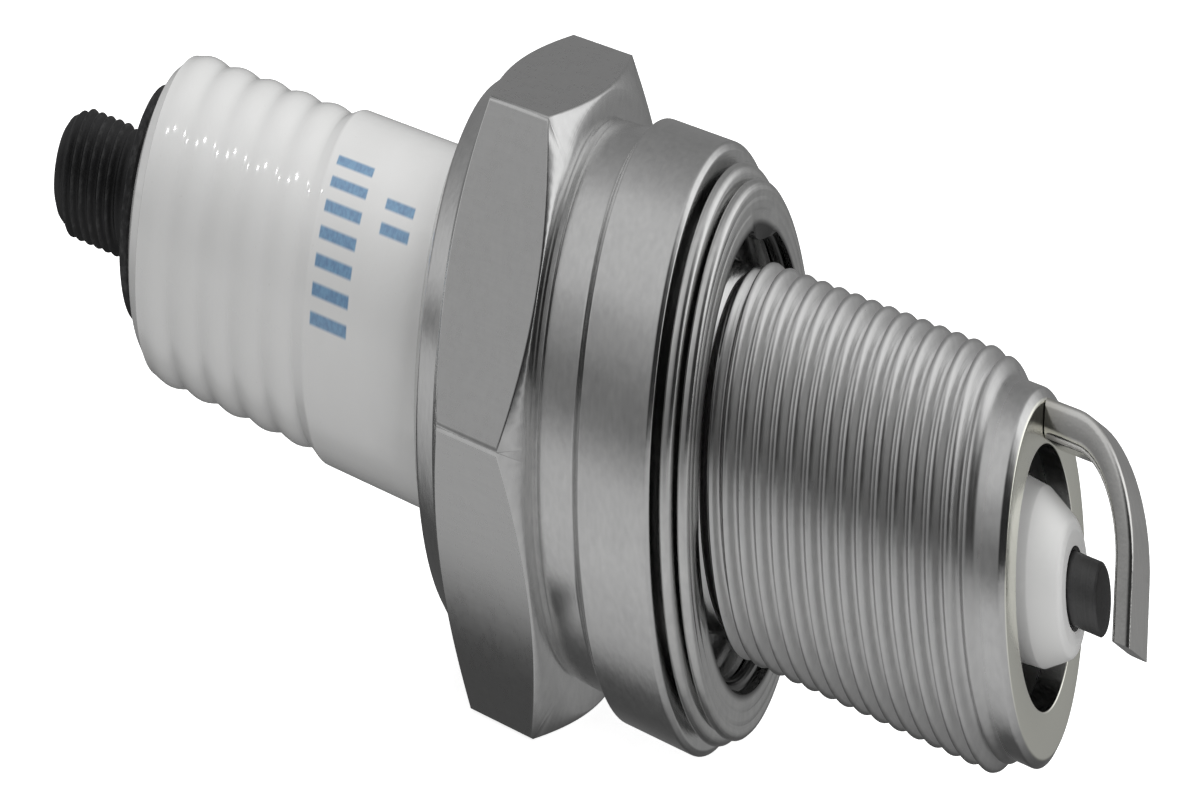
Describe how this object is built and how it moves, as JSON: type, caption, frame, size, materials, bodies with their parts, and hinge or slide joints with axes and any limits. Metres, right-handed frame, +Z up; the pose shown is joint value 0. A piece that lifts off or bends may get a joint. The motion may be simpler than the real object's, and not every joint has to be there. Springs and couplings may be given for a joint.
{
  "type": "spark plug",
  "caption": "Motorcycle spark plug with a fine-threaded steel shell, wrench hexagon, crush gasket, ribbed white insulator, bent ground electrode and threaded terminal stud.",
  "frame": {"origin": "on the plug's axis, at the gasket seat, which is the flat front of the shell's flange", "axes": "+X along the plug towards its firing end, +Z up and square to a flat of the hexagon, +Y to the far side"},
  "size_m": [0.0709, 0.0184, 0.016],
  "materials": {
    "blackened_steel": "black oxide",
    "glazed_alumina": "glossy white glaze",
    "conductive_glass": "fused, dark",
    "carbon_resistor": "matt black",
    "dark_nickel_alloy": "dark grey, matt",
    "copper": "plain copper",
    "plated_steel": "satin nickel plating, turned and rolled",
    "nickel_alloy": "drawn strip, bent, edges bright",
    "zinc_steel": "bright folded sheet",
    "packing_steel": "plain steel",
    "talc": "pressed powder"
  },
  "bodies": {
    "plug_body": {"terminal_stud": "blackened_steel", "insulator": "glazed_alumina", "upper_glass_seal": "conductive_glass", "resistor": "carbon_resistor", "lower_glass_seal": "conductive_glass", "centre_electrode": "dark_nickel_alloy", "copper_core": "copper", "shell": "plated_steel", "ground_electrode": "nickel_alloy", "seat_washer": "packing_steel", "lower_packing_ring": "packing_steel", "talc_filling": "talc", "upper_packing_ring": "packing_steel"},
    "gasket": {"gasket": "zinc_steel"}
  },
  "joints": [
    {"name": "gasket_spin", "type": "hinge", "parent": "plug_body", "child": "gasket", "pos_m": [0.0012, 0, 0], "axis": [1, 0, 0], "continuous": true}
  ]
}
